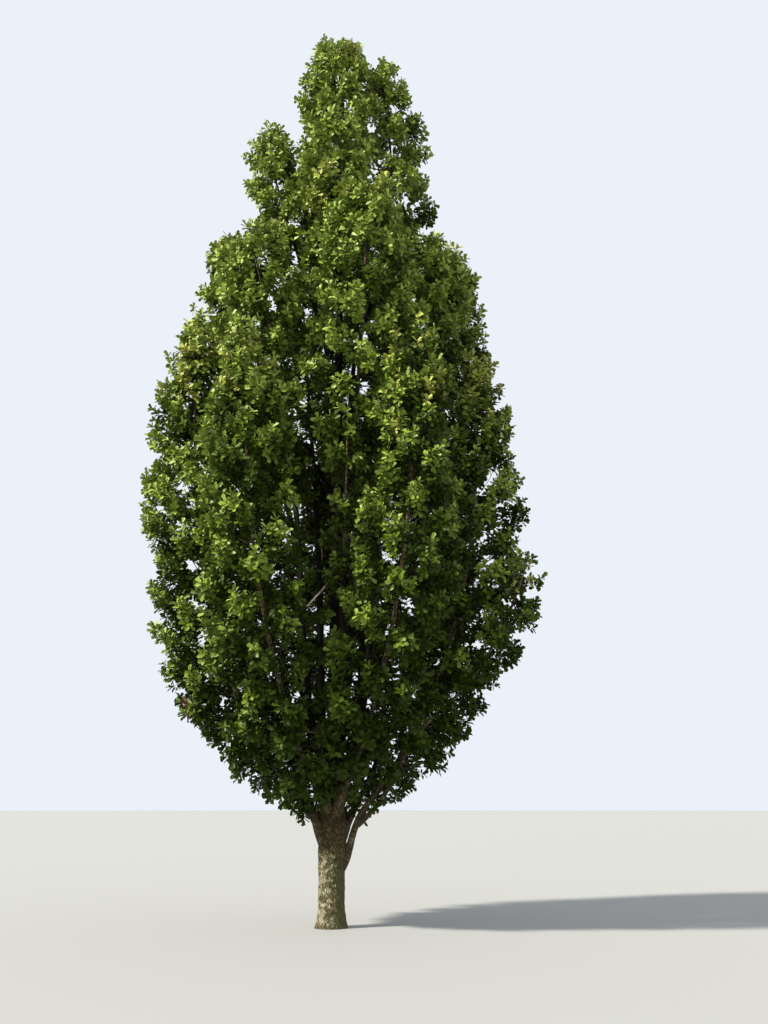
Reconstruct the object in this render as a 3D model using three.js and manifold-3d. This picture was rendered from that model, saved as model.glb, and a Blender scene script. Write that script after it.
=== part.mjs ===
// Columnar oak, rooted in the ground: a short trunk, steep boughs and upright plumes of foliage.
// Millimetres, +Z up. The origin is the middle of the flat cut at ground level, and -Y faces the viewer.

import * as THREE from "three";
import { mergeVertices } from "three/addons/utils/BufferGeometryUtils.js";
import Module from "manifold-3d";

// Fit between neighbouring pieces
const SEAT_GAP = 0.3;
const WELD_DISTANCE = 0.001;

// Trunk: radii of the shaft, the root flare at the ground and the swelling under the lowest boughs
const TRUNK_HEIGHT = 2300;
const SHOULDER_HEIGHT = 1500;
const FOOT_RADIUS = 190;
const SHOULDER_RADIUS = 182;
const TOP_RADIUS = 118;
const TRUNK_LEAN = [14, 20];
const FLARE_DEPTH = 66;
const FLARE_HEIGHT = 130;
const SWELLING_DEPTH = 28;
const SWELLING_HEIGHT = 1050;
const SWELLING_SPREAD = 380;
const ROOT_COUNT = 6;
const ROOT_DEPTH = 0.16;
const ROOT_TURN = 0.6;
const TRUNK_SIDES = 20;
const TRUNK_STEPS = 12;
const RINGS_TO_THE_FOOT = 1.5;

// Boughs
const BOUGH_SIDES = 6;
const BOUGH_STEPS = 6;
const BOUGH_BEND = 0.42;

// Twigs: each plume has one stem, and twigs stand off it in turn by the golden share. The reaches,
// as shares of the girth, are tried in turn until the twig fits.
const STEM_SIDES = 4;
const STEM_STEPS = 6;
const STEM_END = 0.9;
const STEM_TIP_RADIUS = 22;
const TWIG_SIDES = 3;
const TWIG_STEPS = 2;
const TWIG_TEST_STEPS = 4;
const TWIG_RADIUS_SHARES = [0.56, 0.38];
const TWIG_SPRAYS_LEAST = 2;
const TWIG_FIRST = 0.02;
const TWIG_LAST = 0.88;
const TWIG_REACHES = [0.7, 0.58, 0.46, 0.34];
const TWIG_RISES = [-0.03, 0.12];
const TWIG_SPREAD = 0.6;
const TWIG_BOW = 0.16;
const GOLDEN_SHARE = 0.618034;
const PLUME_PHASE = 0.37;

// Sprays: each stands for a bunch of leaves. Lengths, as shares of the plume's girth, are tried in turn
// until the spray fits. One goes on from the end of its twig, and whorls open round it, a spray from each
// side of the twig. A whorl is [share of the way along the twig, least and greatest opening in degrees].
const SPRAY_LENGTHS = [1.1, 0.95, 0.82, 0.7, 0.58];
const SPRAY_LENGTH_LEAST = 450;
const SPRAY_SPACING = 0.19;
const SPRAY_WIDTH = 0.74;
const SPRAY_THICKNESS = 0.05;
const SPRAY_WIDEST = 0.6;
const SPRAY_ROOT_DEPTH = 3;
const SPRAY_TEST_SHARES = [0.25, 0.45, SPRAY_WIDEST, 0.8, 1];
const TWIG_WHORLS = [
  [0.96, 50, 68],
  [0.62, 66, 84],
];
const TOP_WHORLS = [[0.95, 36, 52]];

// Room: a plume keeps a share of its girth clear of the next, and its twigs and sprays keep off limbs
const PLUME_GAP = 0.04;
const LIMB_CLEARANCE = 14;
const AXIS_SAMPLES = 28;
const SEED = 6;

// Outline of a plume: it swells quickly from the foot and draws in slowly to the tip
const PLUME_SKEW = 0.75;
const PLUME_FULLNESS = 0.45;

// Rings of plumes. Places are [distance from the trunk's axis, height]. A plume's line runs from its foot
// past its belly to its tip, and girth is its greatest radius. Twigs fan to each side of outward by fan
// degrees. The bough under it leaves at height from, at lean degrees from upright, with its two radii.
const RINGS = {
  low: {
    foot: [440, 1620],
    belly: [1800, 4650],
    tip: [2150, 8350],
    girth: 1050,
    twigCount: 12,
    fan: 108,
    lean: 40,
    radii: [56, 44],
  },
  middle: {
    foot: [820, 6150],
    belly: [1320, 8500],
    tip: [1680, 10700],
    girth: 960,
    twigCount: 8,
    fan: 115,
    lean: 24,
    radii: [52, 40],
  },
  upper: {
    foot: [380, 9250],
    belly: [840, 11100],
    tip: [1050, 12500],
    girth: 680,
    twigCount: 8,
    fan: 140,
    from: 5400,
    lean: 14,
    radii: [42, 30],
  },
};

// Every plume, with what differs from its ring. Azimuth, in degrees, is 0 to the right, -90 to the viewer.
// A bough grows off the trunk unless off names the leader or another bough.
const PLUMES = [
  { name: "front_right", ring: "low", azimuth: -58, foot: [400, 1900], girth: 930, from: 1340, lean: 30 },
  { name: "front_left", ring: "low", azimuth: -123, foot: [400, 1860], girth: 960, from: 1400, lean: 30 },
  {
    name: "left",
    ring: "low",
    azimuth: -170,
    foot: [430, 1660],
    belly: [1850, 4620],
    tip: [2120, 9200],
    twigCount: 11,
    from: 840,
    lean: 25,
  },
  { name: "back_left", ring: "low", azimuth: 140, tip: [2120, 8100], twigCount: 10, from: 1240 },
  { name: "back", ring: "low", azimuth: 88, tip: [2200, 8500], twigCount: 10, from: 1120 },
  { name: "back_right", ring: "low", azimuth: 41, tip: [2050, 8000], from: 840, lean: 26, radii: [50, 42] },
  {
    name: "right",
    ring: "low",
    azimuth: -6,
    foot: [490, 1620],
    belly: [1860, 4560],
    tip: [2060, 8750],
    girth: 1000,
    from: 660,
    lean: 50,
    radii: [48, 42],
  },
  { name: "mid_front_right", ring: "middle", azimuth: -26, tip: [1720, 9900], from: 1480 },
  { name: "mid_front", ring: "middle", azimuth: -72, twigCount: 7, from: 1780 },
  { name: "mid_front_left", ring: "middle", azimuth: -138, tip: [1800, 10000], from: 1600 },
  { name: "mid_left", ring: "middle", azimuth: 166, belly: [1500, 8700], tip: [1840, 11000], from: 1800 },
  { name: "mid_back_left", ring: "middle", azimuth: 115, tip: [1700, 10400], from: 1500 },
  { name: "mid_back_right", ring: "middle", azimuth: 67, tip: [1650, 10700], twigCount: 7, from: 1760 },
  { name: "mid_right", ring: "middle", azimuth: 14, belly: [1600, 8500], tip: [1600, 10450], from: 1620 },
  {
    name: "high_right",
    ring: "upper",
    azimuth: 4,
    foot: [510, 9250],
    belly: [850, 11350],
    tip: [560, 14000],
    girth: 840,
    twigCount: 7,
    from: 5100,
    off: "crown",
  },
  { name: "high_left", ring: "upper", azimuth: 178, belly: [950, 11100], tip: [1300, 12600], off: "crown" },
  { name: "high_front", ring: "upper", azimuth: -90, tip: [900, 11900], from: 4700, off: "crown" },
  { name: "high_back", ring: "upper", azimuth: 92, tip: [1000, 12300], from: 5800, off: "crown" },
  {
    name: "crown",
    ring: "upper",
    azimuth: 0,
    foot: [0, 10500],
    belly: [-20, 12600],
    tip: [-30, 14250],
    girth: 840,
    twigCount: 8,
    fan: 180,
    from: TRUNK_HEIGHT + SEAT_GAP,
    lean: 0,
    radii: [TOP_RADIUS, 40],
  },
  {
    name: "right_lobe",
    ring: "low",
    azimuth: -14,
    foot: [1520, 2850],
    belly: [2340, 3800],
    tip: [2920, 5250],
    girth: 580,
    twigCount: 5,
    fan: 100,
    from: 1330,
    lean: 56,
    radii: [30, 24],
    off: "right",
  },
].map((plume) => ({ ...RINGS[plume.ring], ...plume }));

const BARK = { color: 0x8a7f6d, roughness: 0.9, metalness: 0 };
const LIMB_BARK = { color: 0x6b5f4c, roughness: 0.9, metalness: 0 };
const LEAVES = {
  low: { color: 0x3f5f24, roughness: 0.7, metalness: 0 },
  middle: { color: 0x4a6b2a, roughness: 0.7, metalness: 0 },
  upper: { color: 0x5d7a33, roughness: 0.7, metalness: 0 },
};

const wasm = await Module();
wasm.setup();

// Numbers from 0 to 1, the same each time for the same seed.
function seededRandom(seed) {
  let state = seed >>> 0;
  return () => {
    state = (state + 0x6d2b79f5) >>> 0;
    let mixed = Math.imul(state ^ (state >>> 15), state | 1);
    mixed ^= mixed + Math.imul(mixed ^ (mixed >>> 7), mixed | 61);
    return ((mixed ^ (mixed >>> 14)) >>> 0) / 2 ** 32;
  };
}

function heading(azimuth) {
  const angle = THREE.MathUtils.degToRad(azimuth);
  return new THREE.Vector3(Math.cos(angle), Math.sin(angle), 0);
}

function placeAt(azimuth, [distance, height]) {
  return heading(azimuth).multiplyScalar(distance).setZ(height);
}

// Solids

function solidOf(geometry) {
  const bare = new THREE.BufferGeometry().setAttribute("position", geometry.getAttribute("position"));
  bare.setIndex(geometry.index);
  const welded = mergeVertices(bare, WELD_DISTANCE);
  const triVerts = Uint32Array.from(welded.index.array);
  const vertProperties = Float32Array.from(welded.attributes.position.array);
  return new wasm.Manifold(new wasm.Mesh({ numProp: 3, vertProperties, triVerts }));
}

// A named mesh of a solid's largest body: loose scraps and sealed hollows are left out.
function meshOf(name, solid, finish) {
  const largest = solid.decompose().reduce((best, body) => (body.volume() > best.volume() ? body : best));
  const { vertProperties, triVerts } = largest.getMesh();
  const geometry = new THREE.BufferGeometry()
    .setAttribute("position", new THREE.BufferAttribute(vertProperties, 3))
    .setIndex(new THREE.BufferAttribute(triVerts, 1));
  geometry.computeVertexNormals();
  const mesh = new THREE.Mesh(geometry, new THREE.MeshStandardMaterial(finish));
  mesh.name = name;
  return mesh;
}

// A tapering limb with a few flat sides, bent along a line: straight between its rings.
class Limb {
  constructor(line, radii, sides, steps, turn = 0) {
    Object.assign(this, { line, radii, sides, steps, turn });
    this.centres = line.getSpacedPoints(steps);
    this.frames = line.computeFrenetFrames(steps);
  }

  radiusAt(share) {
    return THREE.MathUtils.lerp(...this.radii, share);
  }

  // Centre, tangent, normal and binormal at a share of the way along.
  frameAt(share) {
    const before = Math.min(Math.floor(share * this.steps), this.steps - 1);
    const part = share * this.steps - before;
    const { tangents, normals, binormals } = this.frames;
    const between = (list) => list[before].clone().lerp(list[before + 1], part);
    const axes = [tangents, normals, binormals].map((list) => between(list).normalize());
    return [between(this.centres), ...axes];
  }

  solid(extra = 0) {
    const geometry = new THREE.CylinderGeometry(1, 1, 1, this.sides, this.steps, false, this.turn);
    const places = geometry.getAttribute("position");
    for (let i = 0; i < places.count; i++) {
      const share = Math.round((places.getY(i) + 0.5) * this.steps) / this.steps;
      const [centre, , normal, binormal] = this.frameAt(share);
      const radius = this.radiusAt(share) + extra;
      centre.addScaledVector(normal, radius * places.getX(i));
      centre.addScaledVector(binormal, -radius * places.getZ(i));
      places.setXYZ(i, ...centre);
    }
    return solidOf(geometry);
  }
}

// Trunk

function trunkCentre(height) {
  const share = (height / TRUNK_HEIGHT) ** 2;
  return new THREE.Vector3(TRUNK_LEAN[0] * share, TRUNK_LEAN[1] * share, height);
}

function trunkRadius(height, angle) {
  const taper =
    height < SHOULDER_HEIGHT
      ? THREE.MathUtils.mapLinear(height, 0, SHOULDER_HEIGHT, FOOT_RADIUS, SHOULDER_RADIUS)
      : THREE.MathUtils.mapLinear(height, SHOULDER_HEIGHT, TRUNK_HEIGHT, SHOULDER_RADIUS, TOP_RADIUS);
  const flare = Math.exp(-height / FLARE_HEIGHT);
  const swelling = SWELLING_DEPTH * Math.exp(-(((height - SWELLING_HEIGHT) / SWELLING_SPREAD) ** 2));
  const roots = 1 + ROOT_DEPTH * flare * Math.cos(ROOT_COUNT * angle + ROOT_TURN);
  return (taper + FLARE_DEPTH * flare + swelling) * roots;
}

// A cylinder whose rings crowd towards the flare. Extra is added all round, for cutting the boughs' seats.
function trunkSolid(extra) {
  const geometry = new THREE.CylinderGeometry(1, 1, 1, TRUNK_SIDES, TRUNK_STEPS).rotateX(Math.PI / 2);
  const places = geometry.getAttribute("position");
  for (let i = 0; i < places.count; i++) {
    const height = TRUNK_HEIGHT * (places.getZ(i) + 0.5) ** RINGS_TO_THE_FOOT;
    const centre = trunkCentre(height);
    const radius = trunkRadius(height, Math.atan2(places.getY(i), places.getX(i))) + extra;
    places.setXYZ(i, centre.x + radius * places.getX(i), centre.y + radius * places.getY(i), height);
  }
  return solidOf(geometry);
}

// Boughs

function plumeLine(plume) {
  const foot = placeAt(plume.azimuth, plume.foot);
  const tip = placeAt(plume.azimuth, plume.tip);
  const pull = placeAt(plume.azimuth, plume.belly).multiplyScalar(2);
  pull.sub(foot.clone().add(tip).multiplyScalar(0.5));
  return new THREE.QuadraticBezierCurve3(foot, pull, tip);
}

// A bough starts in the middle of what carries it, leans out and turns into its plume's own line.
function growBough(plume, carrier) {
  const foot = plume.line.getPoint(0);
  const start = carrier ? centreAtHeight(carrier.bough, plume.from) : trunkCentre(plume.from);
  const away = foot.clone().sub(start);
  const lean = THREE.MathUtils.degToRad(plume.lean);
  const leaving = away.clone().setZ(0).normalize().multiplyScalar(Math.sin(lean)).setZ(Math.cos(lean));
  const bend = away.length() * BOUGH_BEND;
  const line = new THREE.CubicBezierCurve3(
    start,
    start.clone().addScaledVector(leaving, bend),
    foot.clone().addScaledVector(plume.line.getTangent(0), -bend),
    foot,
  );
  return new Limb(line, plume.radii, BOUGH_SIDES, BOUGH_STEPS);
}

// The middle of a steep limb at a given height.
function centreAtHeight(limb, height) {
  const upper = limb.centres.findIndex((centre) => centre.z > height);
  const [below, above] = [limb.centres[upper - 1], limb.centres[upper]];
  return below.clone().lerp(above, (height - below.z) / (above.z - below.z));
}

// The stem of a plume starts a seat's gap past the tip of its bough.
function growStem(plume) {
  const gap = plume.line.getTangent(0).multiplyScalar(SEAT_GAP);
  const foot = plume.line.v0.clone().add(gap);
  const pull = plume.line.v0.clone().lerp(plume.line.v1, STEM_END).add(gap);
  const line = new THREE.QuadraticBezierCurve3(foot, pull, plume.line.getPoint(STEM_END));
  return new Limb(line, [plume.radii[1], STEM_TIP_RADIUS], STEM_SIDES, STEM_STEPS);
}

const named = new Map(PLUMES.map((plume) => [plume.name, plume]));
const carriersFirst = [...PLUMES].sort((a, b) => Boolean(a.off) - Boolean(b.off));
for (const plume of carriersFirst) {
  plume.line = plumeLine(plume);
  plume.bough = growBough(plume, named.get(plume.off));
  plume.stem = growStem(plume);
}

// Room

function girthAt(plume, share) {
  return plume.girth * Math.sin(Math.PI * share ** PLUME_SKEW) ** PLUME_FULLNESS;
}

for (const plume of PLUMES) {
  plume.sprays = [];
  plume.samples = Array.from({ length: AXIS_SAMPLES }, (_, i) => {
    const share = (i + 0.5) / AXIS_SAMPLES;
    return { place: plume.line.getPoint(share), girth: girthAt(plume, share) };
  });
}

// How far a point is from a plume's line: 0 on the line, 1 on the plume's outline.
function reachIn(plume, point) {
  let least = Infinity;
  for (const { place, girth } of plume.samples) least = Math.min(least, place.distanceTo(point) / girth);
  return least;
}

// Whether points all lie in the plume's own room: inside its outline, and nearest to its own line.
function inRoom(plume, points) {
  return points.every((point) => {
    const own = reachIn(plume, point);
    return own < 1 && PLUMES.every((other) => other === plume || reachIn(other, point) > own + PLUME_GAP);
  });
}

// Trunk and boughs, thickened: twigs and sprays keep off them.
const thickBoughs = PLUMES.map((plume) => plume.bough.solid(LIMB_CLEARANCE));
const obstacles = [trunkSolid(LIMB_CLEARANCE), ...thickBoughs];

function touches(solid, others) {
  return others.some((other) => !other.intersect(solid).isEmpty());
}

// Foliage

// A spray of leaves: an eight-sided blade, widest past its middle, from a root sunk into its twig.
// Facing is the direction that its broad side turns to.
class Spray {
  constructor(root, along, facing, length) {
    const side = new THREE.Vector3().crossVectors(facing, along).normalize();
    Object.assign(this, { root, along, side, length });
    this.middle = this.point(SPRAY_WIDEST, 0);
  }

  // The point of the blade at a share of its length and of its half width.
  point(share, across) {
    const width = share < SPRAY_WIDEST ? share / SPRAY_WIDEST : (1 - share) / (1 - SPRAY_WIDEST);
    return this.root
      .clone()
      .addScaledVector(this.along, share * this.length)
      .addScaledVector(this.side, (across * width * this.length * SPRAY_WIDTH) / 2);
  }

  points() {
    return SPRAY_TEST_SHARES.flatMap((share) => [-1, 0, 1].map((across) => this.point(share, across)));
  }

  solid() {
    const geometry = new THREE.OctahedronGeometry(1);
    const normal = new THREE.Vector3().crossVectors(this.along, this.side);
    const places = geometry.getAttribute("position");
    for (let i = 0; i < places.count; i++) {
      const lengthwise = Math.round(places.getX(i));
      const share = { "-1": 0, 0: SPRAY_WIDEST, 1: 1 }[lengthwise];
      const place = this.point(share, places.getY(i))
        .addScaledVector(normal, (places.getZ(i) * this.length * SPRAY_THICKNESS) / 2)
        .addScaledVector(this.along, lengthwise < 0 ? -SPRAY_ROOT_DEPTH : 0);
      places.setXYZ(i, ...place);
    }
    return solidOf(geometry);
  }
}

// Adds the longest spray that fits there to the twig's own, if one does. It keeps off trunk and boughs,
// and off the plume's stem and other twigs with their sprays.
function growSpray(plume, sprays, root, along, facing, girth) {
  const spaced = (spray) =>
    [...sprays, ...plume.sprays].every(
      (other) => other.middle.distanceTo(spray.middle) > SPRAY_SPACING * (other.length + spray.length),
    );
  for (const share of SPRAY_LENGTHS) {
    const spray = new Spray(root, along, facing, Math.max(SPRAY_LENGTH_LEAST, share * girth));
    if (!spaced(spray) || !inRoom(plume, spray.points())) continue;
    if (touches(spray.solid(), plume.solid ? [...obstacles, plume.solid] : obstacles)) continue;
    sprays.push(spray);
    return;
  }
}

// In each whorl one spray opens from the middle of each of the limb's sides.
function growWhorls(plume, sprays, limb, whorls, girth, random) {
  for (const [share, ...opening] of whorls) {
    const [root, axis, normal, binormal] = limb.frameAt(share);
    for (let i = 0; i < limb.sides; i++) {
      const angle = limb.turn + ((i + 0.5) * 2 * Math.PI) / limb.sides;
      const out = normal.clone().multiplyScalar(Math.sin(angle));
      out.addScaledVector(binormal, -Math.cos(angle));
      const spread = THREE.MathUtils.degToRad(THREE.MathUtils.lerp(...opening, random()));
      const along = axis.clone().multiplyScalar(Math.cos(spread)).addScaledVector(out, Math.sin(spread));
      growSpray(plume, sprays, root, along, axis, girth);
    }
  }
}

// A twig leaves the stem outwards and turns up to the plume's outline.
function twigTo(plume, share, azimuth, reach, turn) {
  const alongStem = share / STEM_END;
  const [start] = plume.stem.frameAt(alongStem);
  const rise = THREE.MathUtils.lerp(...TWIG_RISES, share);
  const above = THREE.MathUtils.clamp(share + rise, TWIG_FIRST, 1);
  const out = heading(azimuth);
  const end = plume.line.getPoint(above).addScaledVector(out, girthAt(plume, above) * reach);
  const elbow = start.clone().lerp(end, 0.5).addScaledVector(out, start.distanceTo(end) * TWIG_BOW);
  const radii = TWIG_RADIUS_SHARES.map((part) => part * plume.stem.radiusAt(alongStem));
  const line = new THREE.QuadraticBezierCurve3(start, elbow, end);
  return new Limb(line, radii, TWIG_SIDES, TWIG_STEPS, turn);
}

function fits(plume, twig) {
  return inRoom(plume, twig.line.getPoints(TWIG_TEST_STEPS)) && !touches(twig.solid(), obstacles);
}

function fused(pieces) {
  return pieces.map((piece) => piece.solid()).reduce((whole, solid) => whole.add(solid));
}

// The stem, with one spray that reaches the plume's tip and a whorl round it.
function growTop(plume, random) {
  const [end] = plume.stem.frameAt(1);
  const ahead = plume.line.getPoint(1).sub(end);
  const sprays = [new Spray(end, ahead.clone().normalize(), heading(plume.azimuth), ahead.length())];
  growWhorls(plume, sprays, plume.stem, TOP_WHORLS, girthAt(plume, STEM_END), random);
  plume.sprays = sprays;
  plume.solid = fused([plume.stem, ...sprays]);
}

// A twig with one spray that goes on from its end and whorls round it, unless none of them fits.
function growBranch(plume, twig, girth, random) {
  const sprays = [];
  const [end, ahead] = twig.frameAt(1);
  growSpray(plume, sprays, end, ahead, heading(plume.azimuth), girth);
  growWhorls(plume, sprays, twig, TWIG_WHORLS, girth, random);
  if (sprays.length < TWIG_SPRAYS_LEAST) return;
  plume.sprays.push(...sprays);
  plume.solid = plume.solid.add(fused([twig, ...sprays]));
}

function plumeSolid(plume, index) {
  const random = seededRandom(SEED + index);
  growTop(plume, random);
  for (let i = 0; i < plume.twigCount; i++) {
    const part = (i + random() * TWIG_SPREAD) / plume.twigCount;
    const share = THREE.MathUtils.lerp(TWIG_FIRST, TWIG_LAST, part);
    const sideways = ((i * GOLDEN_SHARE + index * PLUME_PHASE) % 1) * 2 - 1;
    const azimuth = plume.azimuth + plume.fan * sideways;
    const turn = random() * Math.PI;
    const twigs = TWIG_REACHES.map((reach) => twigTo(plume, share, azimuth, reach, turn));
    const twig = twigs.find((candidate) => fits(plume, candidate));
    if (twig) growBranch(plume, twig, girthAt(plume, share), random);
  }
  return plume.solid;
}

// The whole tree

const tree = new THREE.Group();
tree.add(meshOf("trunk", trunkSolid(0), BARK));
const trunkSeat = trunkSolid(SEAT_GAP);
for (const plume of PLUMES) {
  const carrier = plume.off ? named.get(plume.off).bough.solid(SEAT_GAP) : trunkSeat;
  tree.add(meshOf("bough_" + plume.name, plume.bough.solid().subtract(carrier), LIMB_BARK));
}
PLUMES.forEach((plume, index) => {
  tree.add(meshOf("foliage_" + plume.name, plumeSolid(plume, index), LEAVES[plume.ring]));
});

export default tree;
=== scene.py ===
"""Columnar oak: barked trunk and limbs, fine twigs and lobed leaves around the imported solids.

Metres, +Z up, the origin in the middle of the flat cut at ground level, -Y towards the viewer.
"""

import math

import bpy
import numpy as np
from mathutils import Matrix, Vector


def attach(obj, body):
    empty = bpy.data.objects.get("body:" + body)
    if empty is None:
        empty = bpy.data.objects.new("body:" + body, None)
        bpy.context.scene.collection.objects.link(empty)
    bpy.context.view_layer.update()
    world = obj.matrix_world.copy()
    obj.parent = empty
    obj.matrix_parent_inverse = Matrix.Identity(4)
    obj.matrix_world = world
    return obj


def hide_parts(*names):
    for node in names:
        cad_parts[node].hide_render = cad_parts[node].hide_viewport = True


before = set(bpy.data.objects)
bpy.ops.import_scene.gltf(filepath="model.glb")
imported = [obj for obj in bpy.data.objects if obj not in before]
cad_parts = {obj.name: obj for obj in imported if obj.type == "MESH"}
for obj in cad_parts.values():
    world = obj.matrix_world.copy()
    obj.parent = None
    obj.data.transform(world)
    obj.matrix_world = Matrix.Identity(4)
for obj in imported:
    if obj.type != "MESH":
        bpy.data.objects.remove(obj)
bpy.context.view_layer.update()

UP = np.array([0.0, 0.0, 1.0])
GOLDEN_SHARE = 0.618034
GOLDEN_ANGLE = 2 * math.pi * (1 - GOLDEN_SHARE)
SEED = 6

# How finely lines are sampled, and lengths that count as none
LINE_SAMPLES = 65
BOUGH_SAMPLES = 25
TRUNK_SAMPLES = 20
LENGTH_SAMPLES = 200
SAME_PLACE = 1e-4
NO_LENGTH = 1e-9

# Directions a little off upright, so that an upright line has a direction square to it too
OFF_UPRIGHT = UP + np.array([0.01, 0.02, 0.0])
SPIKE_OFF_UPRIGHT = UP + np.array([0.013, 0.021, 0.0])
LEAF_OFF_UPRIGHT = UP + np.array([0.017, 0.011, 0.0])

# Trunk: radii of the shaft, the root flare at the ground and the swelling under the lowest boughs
TRUNK_HEIGHT = 2.3
SHOULDER_HEIGHT = 1.5
FOOT_RADIUS = 0.19
SHOULDER_RADIUS = 0.182
TOP_RADIUS = 0.118
TRUNK_LEAN = (0.014, 0.020)
FLARE_DEPTH = 0.066
FLARE_HEIGHT = 0.13
SWELLING_DEPTH = 0.028
SWELLING_HEIGHT = 1.05
SWELLING_SPREAD = 0.38
ROOT_COUNT = 6
ROOT_DEPTH = 0.16
ROOT_TURN = 0.6
ROOT_CREST = 0.5
LEAST_FLARE = 0.08
BELOW_GROUND = 0.12
TRUNK_SIDES = 42
TRUNK_RING_STEP = 0.06
LEADER_RING_STEP = 0.4

# Boughs and stems
BOUGH_BEND = 0.42
BOUGH_SIDES = 14
BOUGH_RING_STEPS = (0.1, 0.36)
BOUGH_FINE_LENGTH = 1.8
COLLAR_SWELL = 0.75
COLLAR_LENGTH = 0.13
STEM_END = 0.9
STEM_TIP_RADIUS = 0.012

# Twigs stand off each stem in turn by the golden share, and each ends in a clump of leaves. The insets,
# from the plume's outline to the twig's end, are tried in turn until the end is in the plume's own room.
TWIG_FIRST = 0.0
TWIG_LAST = 0.96
TWIG_INSETS = (0.27, 0.38, 0.5, 0.66)
TWIG_INSET_SPREAD = 0.12
TWIG_RISES = (-0.03, 0.12)
TWIG_SPREAD = 0.6
LOW_TWIGS = 0.12
LOW_DROOP = 0.32
TWIG_BOW = 0.16
TWIG_RADIUS_SHARES = (0.3, 0.14)
TWIG_POINTS = 5
TWIG_LOWEST = 0.02
TWIG_LEAST_LENGTH = 0.03
TOP_TWIG_FROM = 0.7
TOP_TWIG_TO = 0.6
PLUME_PHASE = 0.37
BRANCHLET_SHARES = (0.55, 0.68, 0.8, 0.92)
BRANCHLET_OPENING = math.radians(56)
BRANCHLET_LENGTHS = (0.17, 0.3)
BRANCHLET_LIFT = 0.65
BRANCHLET_RADII = (0.006, 0.004)
BRANCHLET_POINTS = 3
SHOOT_SHARES = (0.26, 0.42, 0.57, 0.71, 0.86)
SHOOT_OPENING = math.radians(58)
SHOOT_LENGTHS = (0.07, 0.15)
SHOOT_LIFT = 0.5
SHOOT_RADII = (0.0042, 0.002)
SHOOT_POINTS = 2
SIDE_UNEVENNESS = 0.05
SIDE_BOW = 0.5
SIDE_OUTWARD = 0.25
NEAR_AXIS = 0.05
CLUMP_GAP = 0.03
CLUMP_TALLNESS = 1.5
ROSETTE_SPACING = 0.058
ROSETTE_ORDER_SPREAD = 0.2
ROSETTE_LIFT = 0.3
ROSETTE_OUTWARD = 0.35
LIMB_CLEARANCE = 0.06
LEAF_REACH = 0.09

# Away from the seams with other plumes, leaves may stand a little past a plume's outline. The low edge of
# the crown rises with the distance from the trunk.
SEAM_STRETCH = 0.13
SEAM_POWER = 6
SEAM_REACH = 3
CROWN_FOOT = 1.04
CROWN_FOOT_SLOPE = 0.62

# The hollow in the front, kept free of leaves: each clearing runs from one place to another, with its radius
CLEARINGS = [
    ((-0.41, -0.8, 7.66), (-0.27, -2.7, 6.88), 0.12),
    ((-0.45, -0.8, 7.11), (-0.3, -2.7, 6.4), 0.16),
    ((-0.45, -0.8, 6.57), (-0.3, -2.7, 5.93), 0.18),
    ((-0.43, -0.8, 6.04), (-0.28, -2.7, 5.47), 0.18),
    ((-0.37, -0.8, 5.52), (-0.23, -2.7, 5.02), 0.18),
    ((-0.29, -0.8, 5.01), (-0.16, -2.7, 4.58), 0.18),
    ((-0.21, -0.8, 4.41), (-0.09, -2.7, 4.05), 0.22),
    ((-0.19, -0.8, 3.88), (-0.08, -2.7, 3.59), 0.21),
    ((-0.17, -0.8, 3.33), (-0.06, -2.7, 3.11), 0.2),
]

# Leaves, in rosettes round the shoot tips
LEAVES_IN_ROSETTE = 9
LEAF_LENGTHS = (0.084, 0.122)
LEAF_WIDTH = 0.62
LEAF_FOLD = math.radians(20)
LEAF_DROOP = 0.1
LEAF_OPENINGS = (32, 100)
LEAF_OPENING_SPREAD = 0.28
LEAF_TURN_SPREAD = 0.3
LEAF_ROLL_SPREAD = 0.6
ROSETTE_DEPTH = 0.065
ROSETTE_VIGOURS = (0.86, 1.06)
LEAF_HANG = 0.14

# Tints of the foliage, steps of painted light and shade: how far place and chance brighten a rosette (painted
# light outwards, upwards and on clump crests, painted shade low down and to the right), more so where it
# faces the sunny way, the scores at which the next tint starts, and where new growth is yellow
OUTER_PAINTED_LIGHT = 0.58
HEIGHT_PAINTED_LIGHT = 0.84
CLUMP_TINT = 0.14
CLUMP_TINT_RISE = 2.2
CLUMP_TINT_LEAST = 0.4
CREST_PAINTED_LIGHT = 0.66
ROSETTE_TINT = 0.09
LOW_SHADE_TOP = 0.33
SUNNY_SIDE_TINT = 0.02
SUNNY_WAY = np.array([-0.9, -0.4, 0.15])
SUNNY_WAY_TINT = 0.12
TINT_STEPS = (0.66, 0.79, 0.92, 1.05)
NEW_GROWTH = 0.55
NEW_GROWTH_FROM = 0.76
NEW_GROWTH_SPREAD = 0.2
NEW_GROWTH_OUTSIDE = 0.3
NEW_CLUMPS = 0.02
NEW_CLUMPS_FROM = 0.55
TREE_HEIGHT = 14.25

# A small withered bunch low on the left
WITHERED_PLACE = (-2.02, -0.46, 2.93)
WITHERED_REACH = 0.19

# A bare pale branchlet in the hollow of the front, and the thin limb that it leaves. The branchlet's
# near-white wood is pale dead wood with painted light on top, as it stands in shade. Each line has three
# points, and two radii.
BARE_LINES = [
    [(0.17, -0.5, 4.1), (0.13, -0.55, 4.74), (-0.38, -0.74, 4.91)],
    [(-0.03, -0.62, 4.71), (-0.25, -0.74, 4.38), (-0.44, -0.86, 4.19)],
]
BARE_RADII = [(0.019, 0.01), (0.019, 0.012)]
BARE_POINTS = 9

# Limbs: how quickly a stem thins, and how thick the limb is that a side bough leaves
STEM_TAPER = 0.8
CARRIER_THICKNESS = 0.8

# Bark: stretch of its plates along the limb, the width of a furrow's edge, and its gloss
BARK_STRETCH = 0.26
FURROW_EDGE = 0.34
BARK_GLOSS = 0.25

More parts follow.
